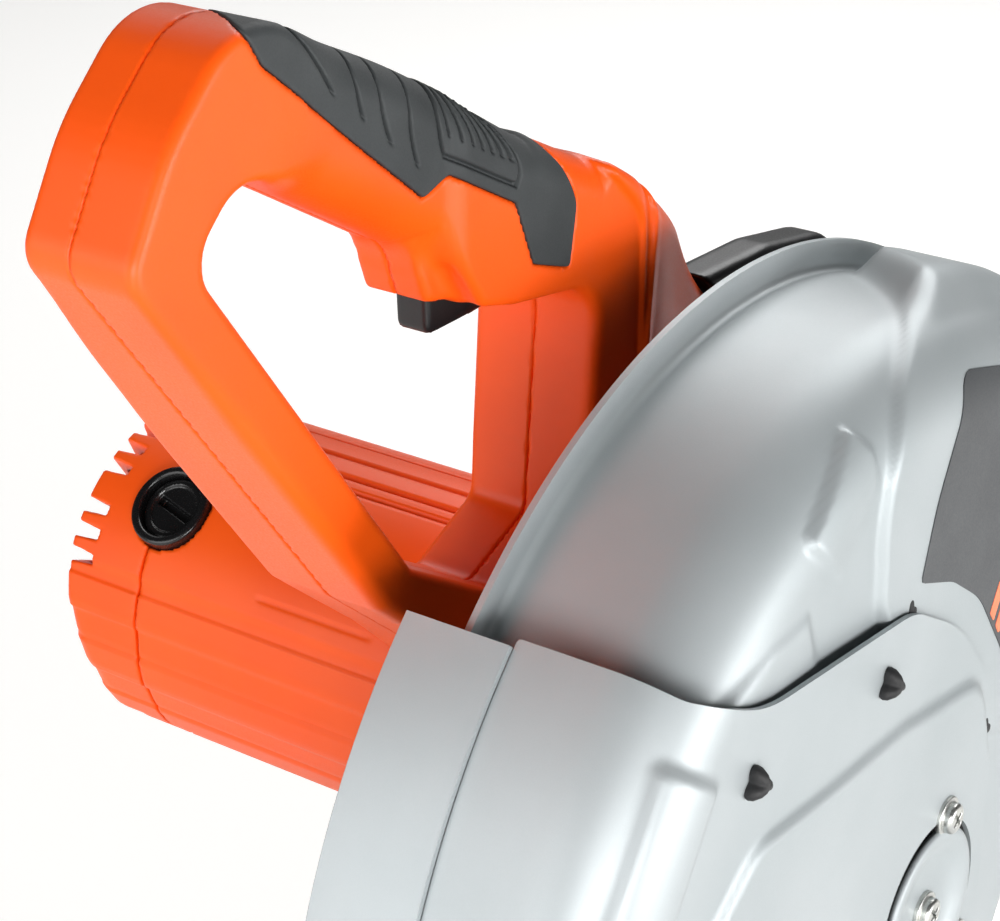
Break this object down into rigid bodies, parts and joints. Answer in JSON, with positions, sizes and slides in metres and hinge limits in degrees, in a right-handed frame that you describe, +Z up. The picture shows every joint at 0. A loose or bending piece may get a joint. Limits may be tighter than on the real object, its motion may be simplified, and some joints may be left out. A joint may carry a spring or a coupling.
{
  "type": "abrasive chop saw",
  "caption": "Bench chop saw with a spring-raised motor head on a pivot arm, dished wheel guards that open as it comes down, D-handle with trigger, and a quick-release vise on a pressed base.",
  "frame": {"origin": "middle of the four bench-bolt holes, on the bench plane under the rubber feet; the wheel plane is x = 0", "axes": "+Z up, +Y from the operator's side to the pivot side, +X to the outer side of the wheel"},
  "size_m": [0.3925, 0.62, 0.6673],
  "materials": {
    "painted_deck": "satin grey-black paint on pressed steel",
    "guard_silver": "fine silver metallic paint on pressed steel",
    "orange_plastic": "moulded glass-filled nylon, orange, fine texture",
    "orange_casting": "orange paint on aluminium casting",
    "grip_rubber": "soft dark grey overmoulded rubber",
    "black_rubber": "black rubber",
    "black_plastic": "black moulded nylon",
    "zinc_steel": "zinc plated steel fasteners",
    "bright_steel": "ground steel",
    "black_steel": "black paint on steel",
    "cast_iron": "painted iron casting",
    "abrasive": "resin bonded grit with woven fabric",
    "copper": "copper",
    "laminations": "varnished laminated steel",
    "carbon": "carbon graphite",
    "badge": "grey film badge with orange bars"
  },
  "bodies": {
    "base": {"base_plate": "painted_deck", "rubber_feet": "black_rubber", "pivot_bracket": "cast_iron", "deck_bolts": "zinc_steel", "pivot_pin": "bright_steel", "raising_spring": "bright_steel", "depth_stop": "zinc_steel", "vise_block": "cast_iron", "hinge_pins": "bright_steel", "deflector_blocks": "black_steel"},
    "fence": {"fence": "black_steel"},
    "jaw": {"vise_jaw": "cast_iron"},
    "screw": {"vise_screw": "bright_steel", "vise_crank": "cast_iron"},
    "knob": {"crank_knob": "black_plastic"},
    "lever": {"release_lever": "black_steel"},
    "deflector": {"spark_deflector": "black_steel"},
    "head": {"arm": "orange_casting", "gear_case": "orange_casting", "gear_case_cover": "orange_casting", "bearings": "bright_steel", "motor_housing": "orange_plastic", "motor_end_cap": "orange_plastic", "end_cap_screws": "zinc_steel", "brush_holders": "black_plastic", "brush_caps": "black_plastic", "carbon_brushes": "carbon", "field_stator": "laminations", "upper_guard": "guard_silver", "guard_back_plate": "black_steel", "back_plate_bolts": "zinc_steel", "guard_hub": "bright_steel", "rub_pads": "black_rubber", "hub_cover": "guard_silver", "hub_cover_screw": "zinc_steel", "guard_spring": "bright_steel", "guard_badge": "badge", "handle_left_shell": "orange_plastic", "handle_right_shell": "orange_plastic", "grip_overmold": "grip_rubber", "handle_screws": "zinc_steel", "switch_body": "black_plastic", "carry_handle": "black_plastic", "cord_gland": "black_rubber"},
    "lower_guard": {"lower_guard_dish": "guard_silver", "lower_guard_band": "guard_silver", "guard_bearing_ring": "black_plastic", "ring_screws": "zinc_steel", "guard_bumpers": "black_rubber"},
    "wheel": {"spindle": "bright_steel", "driven_gear": "bright_steel", "wheel_flanges": "bright_steel", "spindle_bolt": "zinc_steel", "abrasive_wheel": "abrasive"},
    "rotor": {"armature": "laminations", "commutator": "copper", "cooling_fan": "black_plastic", "motor_pinion": "bright_steel"},
    "trigger": {"trigger": "black_plastic"},
    "lock": {"spindle_lock_button": "black_plastic"}
  },
  "joints": [
    {"name": "arm_pivot", "type": "hinge", "parent": "base", "child": "head", "pos_m": [0, 0.185, 0.165], "axis": [1, 0, 0], "range_deg": [0, 38], "stiffness_Nm_per_rad": 25, "springref_deg": -114.59},
    {"name": "guard_swing", "type": "hinge", "parent": "head", "child": "lower_guard", "pos_m": [0, 0.02817, 0.37237], "axis": [1, 0, 0], "range_deg": [-118, 0]},
    {"name": "wheel_spin", "type": "hinge", "parent": "head", "child": "wheel", "pos_m": [0, 0.02817, 0.37237], "axis": [1, 0, 0], "continuous": true},
    {"name": "rotor_spin", "type": "hinge", "parent": "head", "child": "rotor", "pos_m": [0, 0.02867, 0.40497], "axis": [1, 0, 0], "continuous": true},
    {"name": "trigger_pull", "type": "slide", "parent": "head", "child": "trigger", "axis": [0, 0.3419, 0.9397], "range_m": [0, 0.005], "stiffness_N_per_m": 1500, "springref_m": -0.001},
    {"name": "lock_push", "type": "slide", "parent": "head", "child": "lock", "axis": [0, 1, 0], "range_m": [0, 0.005], "stiffness_N_per_m": 800, "springref_m": -0.001},
    {"name": "jaw_slide", "type": "slide", "parent": "base", "child": "jaw", "axis": [0, 1, 0], "range_m": [-0.09, 0.075]},
    {"name": "screw_turn", "type": "hinge", "parent": "jaw", "child": "screw", "pos_m": [-0.066, -0.084, 0.088], "axis": [0, 1, 0], "continuous": true},
    {"name": "knob_turn", "type": "hinge", "parent": "screw", "child": "knob", "pos_m": [-0.024, -0.36, 0.088], "axis": [0, 1, 0], "continuous": true},
    {"name": "release_flip", "type": "hinge", "parent": "base", "child": "lever", "pos_m": [-0.066, -0.206, 0.104], "axis": [-1, 0, 0], "range_deg": [0, 75]},
    {"name": "deflector_tilt", "type": "hinge", "parent": "base", "child": "deflector", "pos_m": [0, 0.118, 0.069], "axis": [-1, 0, 0], "range_deg": [-20, 20]},
    {"name": "fence_turn", "type": "hinge", "parent": "base", "child": "fence", "pos_m": [-0.035, 0.066, 0.066], "axis": [0, 0, -1], "range_deg": [0, 30]}
  ],
  "couplings": [
    {"joint": "guard_swing", "follows": "arm_pivot", "ratio": -3.1053},
    {"joint": "rotor_spin", "follows": "wheel_spin", "ratio": -3.3}
  ]
}
